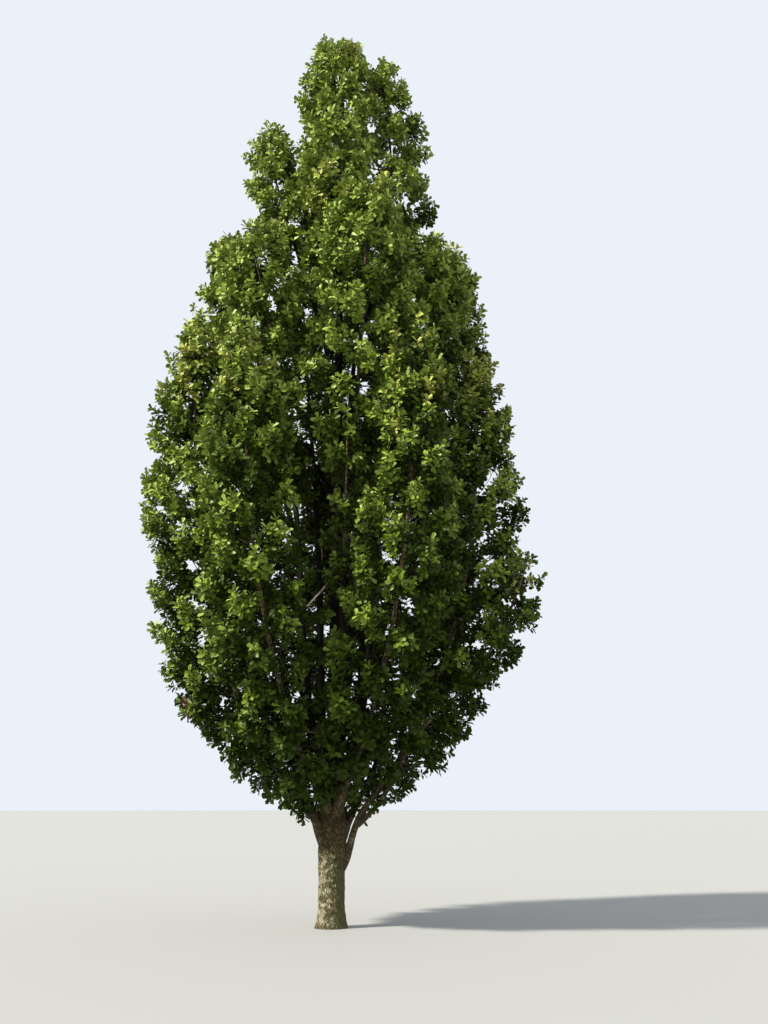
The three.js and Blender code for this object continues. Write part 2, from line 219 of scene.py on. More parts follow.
# Light and camera
FLOOR_RADIUS = 400
FLOOR_COLOUR = (0.31, 0.31, 0.295)
SKY_COLOUR = (0.83, 0.88, 0.95)
SUN_STRENGTH = 7.0
SUN_SPREAD = math.radians(5)
SUN_COLOUR = (1.0, 0.96, 0.87)
SUN_FROM = Vector((-1.1, -0.52, 1.1))
CAMERA_PLACE = (0.720, -15.66, 1.6)
CAMERA_TILT = math.radians(90 + 15.21)
CAMERA_LENS = 38.0

# Outline of a plume: it swells quickly from the foot and draws in slowly to the tip
PLUME_SKEW = 0.75
PLUME_FULLNESS = 0.45
PLUME_GAP = 0.01
AXIS_SAMPLES = 28

# Rings of plumes. Places are (distance from the trunk's axis, height). A plume's line runs from its foot
# past its belly to its tip, and girth is its greatest radius. Twigs fan to each side of outward by fan
# degrees. The bough under it leaves at height start, at lean degrees from upright, with its two radii.
# The inner plumes are small sprays before and behind the leader, and replace no solid.
INNER_PLUMES = ("inner_front", "inner_back")
RINGS = {
    "low": dict(foot=(0.44, 1.62), belly=(1.8, 4.65), tip=(2.15, 8.35), girth=1.05, clumps=80, fan=150,
                lean=40, radii=(0.056, 0.044)),
    "middle": dict(foot=(0.82, 6.15), belly=(1.32, 8.5), tip=(1.68, 10.7), girth=0.96, clumps=58, fan=140,
                   lean=24, radii=(0.052, 0.040)),
    "upper": dict(foot=(0.38, 9.25), belly=(0.84, 11.1), tip=(1.05, 12.5), girth=0.68, clumps=42, fan=165,
                  start=5.4, lean=14, radii=(0.042, 0.030)),
}
PLUMES = [
    dict(name="front_right", ring="low", azimuth=-58, foot=(0.4, 1.9), girth=0.93, start=1.34, lean=30),
    dict(name="front_left", ring="low", azimuth=-123, foot=(0.4, 1.86), girth=0.96, start=1.4, lean=30),
    dict(name="left", ring="low", azimuth=-170, foot=(0.43, 1.66), belly=(1.85, 4.62), tip=(2.12, 9.2),
         start=0.84, lean=25, clumps=104),
    dict(name="back_left", ring="low", azimuth=140, tip=(2.12, 8.1), start=1.24, clumps=88, fan=170),
    dict(name="back", ring="low", azimuth=88, tip=(2.2, 8.5), start=1.12, clumps=96, fan=180),
    dict(name="back_right", ring="low", azimuth=41, tip=(2.05, 8.0), start=0.84, lean=26, radii=(0.05, 0.042),
         clumps=88, fan=170),
    dict(name="right", ring="low", azimuth=-6, foot=(0.49, 1.62), belly=(1.86, 4.56), tip=(2.06, 8.75),
         girth=1.0, start=0.66, lean=50, radii=(0.048, 0.042)),
    dict(name="mid_front_right", ring="middle", azimuth=-26, tip=(1.72, 9.9), start=1.48),
    dict(name="mid_front", ring="middle", azimuth=-72, start=1.78),
    dict(name="mid_front_left", ring="middle", azimuth=-138, tip=(1.8, 10.0), start=1.6),
    dict(name="mid_left", ring="middle", azimuth=166, belly=(1.5, 8.7), tip=(1.84, 11.0), start=1.8),
    dict(name="mid_back_left", ring="middle", azimuth=115, tip=(1.7, 10.4), start=1.5),
    dict(name="mid_back_right", ring="middle", azimuth=67, tip=(1.65, 10.7), start=1.76),
    dict(name="mid_right", ring="middle", azimuth=14, belly=(1.6, 8.5), tip=(1.6, 10.45), start=1.62),
    dict(name="high_right", ring="upper", azimuth=4, foot=(0.51, 9.25), belly=(0.85, 11.35), tip=(0.56, 14.0),
         girth=0.84, start=5.1, off="crown"),
    dict(name="high_left", ring="upper", azimuth=178, belly=(0.95, 11.1), tip=(1.3, 12.6), off="crown"),
    dict(name="high_front", ring="upper", azimuth=-90, tip=(0.9, 11.9), start=4.7, off="crown"),
    dict(name="high_back", ring="upper", azimuth=92, tip=(1.0, 12.3), start=5.8, off="crown"),
    dict(name="crown", ring="upper", azimuth=0, foot=(0, 10.5), belly=(-0.02, 12.6), tip=(-0.03, 14.25),
         girth=0.84, clumps=66, fan=180, start=TRUNK_HEIGHT, lean=0, radii=(TOP_RADIUS, 0.04)),
    dict(name="right_lobe", ring="low", azimuth=-14, foot=(1.52, 2.85), belly=(2.34, 3.8), tip=(2.92, 5.25),
         girth=0.58, clumps=22, fan=140, start=1.33, lean=56, radii=(0.03, 0.024), off="right"),
    dict(name="inner_front", ring="low", azimuth=-82, foot=(0.85, 4.35), belly=(1.4, 5.75), tip=(1.55, 7.3),
         girth=0.42, clumps=26, fan=180, start=3.4, lean=26, radii=(0.02, 0.015), off="mid_front"),
    dict(name="inner_back", ring="low", azimuth=102, foot=(0.7, 2.5), belly=(1.3, 5.3), tip=(1.5, 8.2),
         girth=0.62, clumps=44, fan=180, start=2.3, lean=22, radii=(0.024, 0.018), off="mid_back_left"),
]
PLUMES = [{**RINGS[plume["ring"]], **plume} for plume in PLUMES]


def lerp(ends, share):
    return ends[0] + (ends[1] - ends[0]) * share


def unit(vectors):
    return vectors / np.linalg.norm(vectors, axis=-1, keepdims=True)


def heading(azimuth):
    angle = math.radians(azimuth)
    return np.array([math.cos(angle), math.sin(angle), 0.0])


def place_at(azimuth, place):
    return heading(azimuth) * place[0] + UP * place[1]


def bezier(points, shares):
    """Places on a Bezier line at shares of its way."""
    layers = np.repeat(np.asarray(points, float)[None], len(shares), 0)
    parts = np.asarray(shares, float)[:, None, None]
    while layers.shape[1] > 1:
        layers = layers[:, :-1] * (1 - parts) + layers[:, 1:] * parts
    return layers[:, 0]


def bezier_heading(points, shares):
    points = np.asarray(points, float)
    return unit(bezier(points[1:] - points[:-1], shares))


# Lines of plumes, boughs and stems


def plume_line(plume):
    foot, belly, tip = (place_at(plume["azimuth"], plume[key]) for key in ("foot", "belly", "tip"))
    return np.array([foot, belly * 2 - (foot + tip) / 2, tip])


def trunk_centre(height):
    share = (height / TRUNK_HEIGHT) ** 2
    return np.array([TRUNK_LEAN[0] * share, TRUNK_LEAN[1] * share, height])


def centre_at_height(line, height):
    places = bezier(line, np.linspace(0, 1, LINE_SAMPLES))
    return np.array([np.interp(height, places[:, 2], places[:, axis]) for axis in range(3)])


def bough_line(plume, carrier):
    foot = plume["line"][0]
    if carrier is None:
        start = trunk_centre(plume["start"])
    else:
        start = centre_at_height(carrier["bough"], plume["start"])
    away = foot - start
    lean = math.radians(plume["lean"])
    level = away * (1, 1, 0)
    level = level / max(np.linalg.norm(level), NO_LENGTH)
    leaving = level * math.sin(lean) + UP * math.cos(lean)
    bend = np.linalg.norm(away) * BOUGH_BEND
    arriving = bezier_heading(plume["line"], [0.0])[0]
    return np.array([start, start + leaving * bend, foot - arriving * bend, foot])


def stem_line(plume):
    foot, pull, tip = plume["line"]
    return np.array([foot, foot + (pull - foot) * STEM_END, bezier(plume["line"], [STEM_END])[0]])


named = {plume["name"]: plume for plume in PLUMES}
for plume in sorted(PLUMES, key=lambda plume: "off" in plume):
    plume["line"] = plume_line(plume)
    plume["bough"] = bough_line(plume, named.get(plume.get("off")))
    plume["stem"] = stem_line(plume)


# Room of the plumes


def girth_at(plume, share):
    return plume["girth"] * np.sin(np.pi * np.asarray(share) ** PLUME_SKEW) ** PLUME_FULLNESS


SAMPLE_SHARES = (np.arange(AXIS_SAMPLES) + 0.5) / AXIS_SAMPLES
AXIS_PLACES = np.array([bezier(plume["line"], SAMPLE_SHARES) for plume in PLUMES])
AXIS_GIRTHS = np.array([girth_at(plume, SAMPLE_SHARES) for plume in PLUMES])
LIMB_PLACES = np.concatenate(
    [bezier(plume["bough"], np.linspace(0, 1, BOUGH_SAMPLES)) for plume in PLUMES]
    + [np.array([trunk_centre(height) for height in np.linspace(0, TRUNK_HEIGHT, TRUNK_SAMPLES)])]
)
LIMB_RADII = np.concatenate(
    [np.linspace(*plume["radii"], BOUGH_SAMPLES) for plume in PLUMES] + [np.full(TRUNK_SAMPLES, FOOT_RADIUS)]
)


def away_from_line(points, start, end):
    """Distance of each point from a straight line between two places."""
    way = end - start
    shares = np.clip((points - start) @ way / (way @ way), 0, 1)
    return np.linalg.norm(points - start - shares[:, None] * way, axis=1)


def room(index, points):
    """For each point: whether the plume may fill it, how far out it is in the plume, and how far up."""
    away = np.linalg.norm(points[:, None, None] - AXIS_PLACES[None], axis=-1)
    reaches = (away / AXIS_GIRTHS).min(2)
    own = reaches[:, index]
    others = np.delete(reaches, index, 1).min(1)
    clear = np.linalg.norm(points[:, None] - LIMB_PLACES[None], axis=-1) - LIMB_RADII
    limit = 1 + SEAM_STRETCH * np.minimum(others, SEAM_REACH) ** -SEAM_POWER
    limit = np.minimum(limit, 1 + SEAM_STRETCH)
    inside = ((away[:, index] + LEAF_REACH) / AXIS_GIRTHS[index]).min(1) < limit
    fits = inside & (others > own + PLUME_GAP) & (clear.min(1) > LIMB_CLEARANCE)
    away_from_trunk = np.linalg.norm(points[:, :2], axis=1)
    fits &= points[:, 2] > CROWN_FOOT + CROWN_FOOT_SLOPE * away_from_trunk + LEAF_REACH
    for start, end, radius in CLEARINGS:
        fits &= away_from_line(points, np.array(start), np.array(end)) > radius
    along = SAMPLE_SHARES[(away[:, index] / AXIS_GIRTHS[index]).argmin(1)]
    return fits, own, along


# Growth


def across(direction, turn):
    """A unit vector square to a direction, turned round it."""
    first = unit(np.cross(direction, OFF_UPRIGHT))
    second = np.cross(direction, first)
    return first * math.cos(turn) + second * math.sin(turn)


def nearest_plume(points):
    """The number of the plume that each point belongs to."""
    away = np.linalg.norm(points[:, None, None] - AXIS_PLACES[None], axis=-1) / AXIS_GIRTHS
    return away.min(2).argmin(1)


def twig_lines(plume, index, random):
    """Lines of the twigs that stand off a plume's stem, with their shares of the way up."""
    lines, shares = [], []
    for i in range(plume["clumps"]):
        share = lerp((TWIG_FIRST, TWIG_LAST), (i + random.random() * TWIG_SPREAD) / plume["clumps"])
        sideways = ((i * GOLDEN_SHARE + index * PLUME_PHASE) % 1) * 2 - 1
        out = heading(plume["azimuth"] + plume["fan"] * sideways)
        above = min(max(share + lerp(TWIG_RISES, share), TWIG_LOWEST), 1)
        middle = bezier(plume["line"], [above])[0]
        root = bezier(plume["stem"], [min(share / STEM_END, 1)])[0]
        uneven = random.normal(0, TWIG_INSET_SPREAD)
        for inset in TWIG_INSETS:
            end = middle + out * max(girth_at(plume, above) - inset - abs(uneven), TWIG_LEAST_LENGTH)
            if plume["ring"] == "low":
                end = end - UP * LOW_DROOP * max(0, 1 - share / LOW_TWIGS)
            if nearest_plume(end[None])[0] == index:
                elbow = (root + end) / 2 + out * np.linalg.norm(end - root) * TWIG_BOW
                lines.append(np.array([root, elbow, end]))
                shares.append(share)
                break
    _, pull, top = plume["stem"]
    tip = lerp((top, plume["line"][2]), TOP_TWIG_TO)
    lines.append(np.array([lerp((pull, top), TOP_TWIG_FROM), top, tip]))
    shares.append(STEM_END)
    return lines, shares


def side_lines(parents, shares, opening, lengths, lift, centre_of, random):
    """Lines that leave each parent in turn round it and from its end, and bend up and outwards."""
    lines, owners = [], []
    for number, parent in enumerate(parents):
        turn = random.random() * 2 * math.pi
        stations = [share + random.uniform(-SIDE_UNEVENNESS, SIDE_UNEVENNESS) for share in shares] + [1.0]
        places = bezier(parent, stations)
        ways = bezier_heading(parent, stations)
        for place, way, station in zip(places, ways, stations):
            turn += GOLDEN_ANGLE
            outward = place - centre_of(place)
            outward = outward / max(np.linalg.norm(outward), NEAR_AXIS)
            leaving = way
            if station < 1:
                leaving = way * math.cos(opening) + across(way, turn) * math.sin(opening)
            aim = unit(leaving + UP * lift + outward * SIDE_OUTWARD)
            length = random.uniform(*lengths)
            lines.append(np.array([place, place + leaving * length * SIDE_BOW, place + aim * length]))
            owners.append(number)
    return lines, np.array(owners)


def thinned(tips, order, spacing):
    """The numbers of tips that keep apart from those before them in the order."""
    kept = []
    for i in order:
        if not kept or np.linalg.norm(tips[kept] - tips[i], axis=1).min() > spacing:
            kept.append(i)
    return np.array(sorted(kept))


# Shares at which a twig or branchlet may end
CUT_SHARES = np.linspace(0.04, 1, 25)


def trimmed(line, share):
    """The first part of a Bezier line of three points."""
    first, pull, _ = line
    return np.array([first, lerp((first, pull), share), bezier(line, [share])[0]])


def cut_back(line, borne):
    """A twig or branchlet up to the last of the lines that it bears."""
    roots = np.array([other[0] for other in borne])
    places = bezier(line, CUT_SHARES)
    reach = max(np.linalg.norm(places - root, axis=1).argmin() for root in roots)
    return trimmed(line, CUT_SHARES[reach])


def grow(plume, index):
    """Twigs, branchlets and shoots of a plume, and the rosettes at the shoots' tips."""
    random = np.random.default_rng(SEED + index)

    def centre_of(place):
        return AXIS_PLACES[index][np.linalg.norm(AXIS_PLACES[index] - place, axis=1).argmin()]

    twigs, twig_shares = twig_lines(plume, index, random)
    branchlets, branchlet_twig = side_lines(
        twigs, BRANCHLET_SHARES, BRANCHLET_OPENING, BRANCHLET_LENGTHS, BRANCHLET_LIFT, centre_of, random
    )
    shoots, shoot_branchlet = side_lines(
        branchlets, SHOOT_SHARES, SHOOT_OPENING, SHOOT_LENGTHS, SHOOT_LIFT, centre_of, random
    )
    tips = np.array([line[2] for line in shoots])
    fits, own, along = room(index, tips)
    clumps = np.array([line[2] for line in twigs])
    owner = branchlet_twig[shoot_branchlet]
    upright = (1, 1, 1 / CLUMP_TALLNESS)
    away = np.linalg.norm((tips[:, None] - clumps[None]) * upright, axis=-1)
    mine = away[np.arange(len(tips)), owner]
    away[np.arange(len(tips)), owner] = np.inf
    fits &= away.min(1) > mine + CLUMP_GAP
    order = [i for i in np.argsort(-own + random.random(len(own)) * ROSETTE_ORDER_SPREAD) if fits[i]]
    kept = thinned(tips, order, ROSETTE_SPACING)
    used_branchlets = np.unique(shoot_branchlet[kept])
    used_twigs = np.unique(branchlet_twig[used_branchlets])
    borne = {i: [branchlets[b] for b in used_branchlets if branchlet_twig[b] == i] for i in used_twigs}
    bearing = {i: [shoots[k] for k in kept[shoot_branchlet[kept] == i]] for i in used_branchlets}
    outward = unit(tips[kept] - np.array([centre_of(tip) for tip in tips[kept]]))
    from_clump = tips[kept] - clumps[owner[kept]]
    aims = unit(np.array([shoots[i][2] - shoots[i][1] for i in kept]))
    return dict(
        twigs=[cut_back(twigs[i], borne[i]) for i in used_twigs],
        twig_shares=[twig_shares[i] for i in used_twigs],
        branchlets=[cut_back(branchlets[i], bearing[i]) for i in used_branchlets],
        shoots=[shoots[i] for i in kept],
        tips=tips[kept],
        axes=unit(aims + UP * ROSETTE_LIFT + outward * ROSETTE_OUTWARD),
        own=own[kept],
        along=along[kept],
        clump=owner[kept],
        crest=np.sum(from_clump * unit(outward + UP), axis=1),
        sunny=outward @ SUNNY_WAY,
        random=random,
    )


# Meshes from arrays


def mesh_object(name, vertices, triangles, slots, materials):
    """A mesh piece from arrays of places and triangles, with a material number for each triangle."""
    mesh = bpy.data.meshes.new(name)
    mesh.vertices.add(len(vertices))
    mesh.vertices.foreach_set("co", vertices.astype(np.float32).ravel())
    mesh.loops.add(triangles.size)
    mesh.loops.foreach_set("vertex_index", triangles.astype(np.int32).ravel())
    mesh.polygons.add(len(triangles))
    mesh.polygons.foreach_set("loop_start", np.arange(0, triangles.size, 3, dtype=np.int32))
    for material in materials:
        mesh.materials.append(material)
    mesh.polygons.foreach_set("material_index", slots.astype(np.int32))
    mesh.update(calc_edges=True)
    mesh.validate()
    piece = bpy.data.objects.new(name, mesh)
    bpy.context.collection.objects.link(piece)
    return piece


def spike_arrays(lines, radii, count):
    """Three-sided closed spikes along Bezier lines, thick at the root: places and triangles."""
    shares = np.linspace(0, 1, count)
    centres = np.array([bezier(line, shares) for line in lines])
    ways = np.array([bezier_heading(line, shares) for line in lines])
    first = unit(np.cross(ways, SPIKE_OFF_UPRIGHT))
    second = np.cross(ways, first)
    thick = np.array([lerp(pair, shares) for pair in radii])[:, :, None]
    rings = []
    for k in range(3):
        angle = 2 * math.pi * k / 3
        rings.append(centres + (first * math.cos(angle) + second * math.sin(angle)) * thick)
    places = np.stack(rings, 2)[:, :-1].reshape(len(lines), -1, 3)
    places = np.concatenate([places, centres[:, -1:]], 1)
    tip = places.shape[1] - 1
    pattern = [(0, 2, 1)]
    for k in range(3):
        for j in range(0, tip - 3, 3):
            a, b = j + k, j + (k + 1) % 3
            pattern += [(a, b, b + 3), (a, b + 3, a + 3)]
        pattern.append((tip - 3 + k, tip - 3 + (k + 1) % 3, tip))
    offsets = (np.arange(len(lines)) * (tip + 1))[:, None, None]
    return places.reshape(-1, 3), (np.array(pattern)[None] + offsets).reshape(-1, 3)


# Lobes of half a leaf: (way along, share of the half width). The bay between them lies part of the way to
# the outer lobe.
LEAF_LOBES = [(0.36, 0.8), (0.76, 1.0)]
LEAF_BAY = 0.62


def leaf_pattern():
    """Places of a leaf of length 1 as (along, across, lift), and its triangles."""
    places = [np.zeros(3), np.array([1, 0, -LEAF_DROOP])]
    triangles = []
    for side in (1, -1):
        lobes = []
        for way, width in LEAF_LOBES:
            half = width * LEAF_WIDTH / 2
            lift = half * math.sin(LEAF_FOLD) - LEAF_DROOP * way**2
            lobes.append(np.array([way, side * half * math.cos(LEAF_FOLD), lift]))
        inner, bay, outer = (len(places) + k for k in range(3))
        places += [lobes[0], lobes[1] * LEAF_BAY, lobes[1]]
        for corners in ((0, bay, inner), (0, 1, outer)):
            triangles.append(corners[::side])
    return np.array(places), np.array(triangles)


LEAF_PLACES, LEAF_FACES = leaf_pattern()


def leaf_arrays(grown):
    """All leaves of a mass: places and triangles, rosette by rosette."""
    random = grown["random"]
    axes = grown["axes"]
    count = len(axes)
    first = unit(np.cross(axes, LEAF_OFF_UPRIGHT))
    second = np.cross(axes, first)
    turns = random.random(count)[:, None] * 2 * np.pi + np.arange(LEAVES_IN_ROSETTE) * GOLDEN_ANGLE
    turns = turns + random.normal(0, LEAF_TURN_SPREAD, turns.shape)
    opening = np.radians(np.linspace(*LEAF_OPENINGS, LEAVES_IN_ROSETTE))[None]
    opening = opening + random.normal(0, LEAF_OPENING_SPREAD, turns.shape)
    radial = first[:, None] * np.cos(turns)[..., None] + second[:, None] * np.sin(turns)[..., None]
    axis = np.repeat(axes[:, None], LEAVES_IN_ROSETTE, 1)
    way = axis * np.cos(opening)[..., None] + radial * np.sin(opening)[..., None]
    way = unit(way - UP * LEAF_HANG)
    up = unit(axis - way * np.sum(axis * way, -1, keepdims=True))
    roll = random.normal(0, LEAF_ROLL_SPREAD, turns.shape)[..., None]
    side = np.cross(up, way)
    up = up * np.cos(roll) + side * np.sin(roll)
    side = np.cross(up, way)
    vigour = random.uniform(*ROSETTE_VIGOURS, count)[:, None]
    length = random.uniform(*LEAF_LENGTHS, turns.shape) * vigour
    depths = np.linspace(0, ROSETTE_DEPTH, LEAVES_IN_ROSETTE)
    roots = grown["tips"][:, None] - axis * depths[None, :, None]
    places = (
        roots[:, :, None]
        + way[:, :, None] * (LEAF_PLACES[:, 0][:, None] * length[..., None, None])
        + side[:, :, None] * (LEAF_PLACES[:, 1][:, None] * length[..., None, None])
        + up[:, :, None] * (LEAF_PLACES[:, 2][:, None] * length[..., None, None])
    )
    leaf_count = count * LEAVES_IN_ROSETTE
    offsets = (np.arange(leaf_count) * len(LEAF_PLACES))[:, None, None]
    triangles = (LEAF_FACES[None] + offsets).reshape(-1, 3)
    return places.reshape(-1, 3), triangles


# Materials


def new_material(name):
    material = bpy.data.materials.new(name)
    material.use_nodes = True
    tree = material.node_tree
    shader = tree.nodes["Principled BSDF"]
    return material, tree, shader


def add_node(tree, kind, **settings):
    node = tree.nodes.new(kind)
    for key, value in settings.items():
        setattr(node, key, value)
    return node


def set_inputs(node, **values):
    for key, value in values.items():
        node.inputs[key.replace("_", " ")].default_value = value
    return node


def ramp(tree, low, high, source):
    """A factor that goes from 0 at low to 1 at high of the source."""
    node = add_node(tree, "ShaderNodeMapRange", interpolation_type="SMOOTHSTEP")
    node.inputs["From Min"].default_value = low
    node.inputs["From Max"].default_value = high
    tree.links.new(source, node.inputs["Value"])
    return node.outputs["Result"]


def mix(tree, factor, first, second, blend="MIX"):
    node = add_node(tree, "ShaderNodeMix", data_type="RGBA", blend_type=blend)
    for socket, value in ((node.inputs[0], factor), (node.inputs[6], first), (node.inputs[7], second)):
        if isinstance(value, (tuple, float, int)):
            socket.default_value = value if not isinstance(value, tuple) else (*value, 1)
        else:
            tree.links.new(value, socket)
    return node.outputs[2]


def math_node(tree, operation, first, second):
    node = add_node(tree, "ShaderNodeMath", operation=operation)
    for socket, value in zip(node.inputs, (first, second)):
        if isinstance(value, (float, int)):
            socket.default_value = value
        else:
            tree.links.new(value, socket)
    return node.outputs[0]


def group_sockets(group, inputs, outputs):
    for name, kind, value in inputs:
        socket = group.interface.new_socket(name=name, in_out="INPUT", socket_type=kind)
        if value is not None:
            socket.default_value = value
    for name, kind in outputs:
        group.interface.new_socket(name=name, in_out="OUTPUT", socket_type=kind)
    return add_node(group, "NodeGroupInput"), add_node(group, "NodeGroupOutput")


def bark_group():
    """Furrowed bark: plates with dark furrows between them, mottled, with pale lichen on some."""
    group = bpy.data.node_groups.new("furrowed_bark", "ShaderNodeTree")
    inlet, outlet = group_sockets(
        group,
        [
            ("Vector", "NodeSocketVector", None),
            ("Plates per metre", "NodeSocketFloat", 34.0),
            ("Plate colour", "NodeSocketColor", (0.3, 0.27, 0.22, 1)),
            ("Furrow colour", "NodeSocketColor", (0.06, 0.05, 0.04, 1)),
            ("Lichen colour", "NodeSocketColor", (0.55, 0.56, 0.5, 1)),
            ("Lichen", "NodeSocketFloat", 0.5),
        ],
        [("Color", "NodeSocketColor"), ("Roughness", "NodeSocketFloat"), ("Height", "NodeSocketFloat")],
    )
    stretch = add_node(group, "ShaderNodeMapping")
    stretch.inputs["Scale"].default_value = (1, 1, BARK_STRETCH)
    group.links.new(inlet.outputs["Vector"], stretch.inputs["Vector"])
    wander = set_inputs(add_node(group, "ShaderNodeTexNoise"), Scale=9.0, Detail=3.0)
    group.links.new(stretch.outputs[0], wander.inputs["Vector"])
    bent = add_node(group, "ShaderNodeMixRGB", blend_type="LINEAR_LIGHT")
    bent.inputs["Fac"].default_value = 0.03
    group.links.new(stretch.outputs[0], bent.inputs["Color1"])
    group.links.new(wander.outputs["Color"], bent.inputs["Color2"])
    plates = add_node(group, "ShaderNodeTexVoronoi", feature="DISTANCE_TO_EDGE")
    group.links.new(bent.outputs[0], plates.inputs["Vector"])
    group.links.new(inlet.outputs["Plates per metre"], plates.inputs["Scale"])
    ridge = ramp(group, 0.0, FURROW_EDGE, plates.outputs["Distance"])
    grit = set_inputs(add_node(group, "ShaderNodeTexNoise"), Scale=160.0, Detail=4.0, Roughness=0.7)
    group.links.new(inlet.outputs["Vector"], grit.inputs["Vector"])
    blotch = set_inputs(add_node(group, "ShaderNodeTexNoise"), Scale=12.0, Detail=5.0, Roughness=0.65)
    group.links.new(inlet.outputs["Vector"], blotch.inputs["Vector"])
    colour = mix(group, ridge, inlet.outputs["Furrow colour"], inlet.outputs["Plate colour"])
    dusk = mix(group, ramp(group, 0.35, 0.7, grit.outputs["Fac"]), (0.62, 0.6, 0.58), (1.25, 1.22, 1.18))
    colour = mix(group, 1.0, colour, dusk, "MULTIPLY")
    edge = math_node(group, "SUBTRACT", 0.86, inlet.outputs["Lichen"])
    over = math_node(group, "SUBTRACT", blotch.outputs["Fac"], edge)
    crests = math_node(group, "ADD", 0.35, math_node(group, "MULTIPLY", ridge, 0.65))
    patches = math_node(group, "MULTIPLY", ramp(group, 0.0, 0.1, over), crests)
    patches = math_node(group, "MULTIPLY", patches, ramp(group, 0.34, 0.56, grit.outputs["Fac"]))
    colour = mix(group, patches, colour, inlet.outputs["Lichen colour"])
    group.links.new(colour, outlet.inputs["Color"])
    rough = math_node(group, "ADD", math_node(group, "MULTIPLY", patches, 0.08), 0.84)
    group.links.new(rough, outlet.inputs["Roughness"])
    height = math_node(group, "ADD", ridge, math_node(group, "MULTIPLY", grit.outputs["Fac"], 0.3))
    group.links.new(height, outlet.inputs["Height"])
    return group


BARK = bark_group()


def bark_material(name, plates, plate, furrow, lichen_colour, lichen, relief):
    material, tree, shader = new_material(name)
    where = add_node(tree, "ShaderNodeTexCoord")
    bark = add_node(tree, "ShaderNodeGroup", node_tree=BARK)
    tree.links.new(where.outputs["Object"], bark.inputs["Vector"])
    bark.inputs["Plates per metre"].default_value = plates
    bark.inputs["Plate colour"].default_value = (*plate, 1)
    bark.inputs["Furrow colour"].default_value = (*furrow, 1)
    bark.inputs["Lichen colour"].default_value = (*lichen_colour, 1)
    bark.inputs["Lichen"].default_value = lichen
    bump = add_node(tree, "ShaderNodeBump")
    bump.inputs["Distance"].default_value = relief
    tree.links.new(bark.outputs["Height"], bump.inputs["Height"])
    tree.links.new(bump.outputs[0], shader.inputs["Normal"])
    tree.links.new(bark.outputs["Roughness"], shader.inputs["Roughness"])
    tree.links.new(bark.outputs["Color"], shader.inputs["Base Color"])
    shader.inputs["Specular IOR Level"].default_value = BARK_GLOSS
    return material, tree, shader, bark, where


def trunk_material():
    """Lichened bark low down, green with algae on the right, brown above the fork, with painted shade
    darkening it in the crown.
    """
    material, tree, shader, bark, where = bark_material(
        "trunk_bark", plates=50.0, plate=(0.178, 0.151, 0.070), furrow=(0.034, 0.026, 0.009),
        lichen_colour=(0.52, 0.49, 0.31), lichen=0.4, relief=0.006
    )
    split = add_node(tree, "ShaderNodeSeparateXYZ")
    tree.links.new(where.outputs["Object"], split.inputs[0])
    cloud = set_inputs(add_node(tree, "ShaderNodeTexNoise"), Scale=3.2, Detail=4.0)
    tree.links.new(where.outputs["Object"], cloud.inputs["Vector"])
    rise = math_node(tree, "MULTIPLY", cloud.outputs["Fac"], 0.7)
    high = ramp(tree, 1.0, 1.8, math_node(tree, "ADD", split.outputs["Z"], rise))
    drift = math_node(tree, "MULTIPLY", cloud.outputs["Fac"], 0.2)
    right = ramp(tree, 0.06, 0.26, math_node(tree, "ADD", split.outputs["X"], drift))
    lichen = math_node(tree, "SUBTRACT", 0.39, math_node(tree, "MULTIPLY", high, 0.19))
    lichen = math_node(tree, "SUBTRACT", lichen, math_node(tree, "MULTIPLY", right, 0.14))
    tree.links.new(lichen, bark.inputs["Lichen"])
    brown = mix(tree, high, bark.outputs["Color"], (0.66, 0.56, 0.42), "MULTIPLY")
    foot = math_node(tree, "SUBTRACT", 1.0, ramp(tree, 0.5, 1.3, split.outputs["Z"]))
    algae = math_node(tree, "MULTIPLY", math_node(tree, "MULTIPLY", right, foot), 0.62)
    green = mix(tree, algae, brown, (0.075, 0.085, 0.026))
    # Painted shade: the bark darkens where it runs up into the shade of the crown
    painted_crown_shade = ramp(tree, 1.9, 3.4, split.outputs["Z"])
    shaded = mix(tree, painted_crown_shade, green, (0.085, 0.078, 0.06), "MULTIPLY")
    tree.links.new(shaded, shader.inputs["Base Color"])
    return material


def bough_material():
    """Brown bark with painted shade where the boughs run up the middle of the crown and painted light further
    out, only mildly darkened low by the fork.
    """
    material, tree, shader, bark, where = bark_material(
        "bough_bark", plates=48.0, plate=(0.160, 0.130, 0.080), furrow=(0.046, 0.036, 0.019),
        lichen_colour=(0.34, 0.32, 0.22), lichen=0.34, relief=0.004
    )
    level = add_node(tree, "ShaderNodeVectorMath", operation="MULTIPLY")
    level.inputs[1].default_value = (1, 1, 0)
    tree.links.new(where.outputs["Object"], level.inputs[0])
    distance = add_node(tree, "ShaderNodeVectorMath", operation="LENGTH")
    tree.links.new(level.outputs["Vector"], distance.inputs[0])
    # Painted shade on the boughs near the axis in the crown's middle, painted light on those further out
    outwards = ramp(tree, 0.6, 1.8, distance.outputs["Value"])
    inner = mix(tree, outwards, (0.13, 0.12, 0.09), (1.8, 1.7, 1.5))
    split = add_node(tree, "ShaderNodeSeparateXYZ")
    tree.links.new(where.outputs["Object"], split.inputs[0])
    # Low by the fork the painted shade gives way to a mild darkening
    shaded = mix(tree, ramp(tree, 1.6, 2.7, split.outputs["Z"]), (0.75, 0.74, 0.60), inner)
    tree.links.new(mix(tree, 1.0, bark.outputs["Color"], shaded, "MULTIPLY"), shader.inputs["Base Color"])
    return material


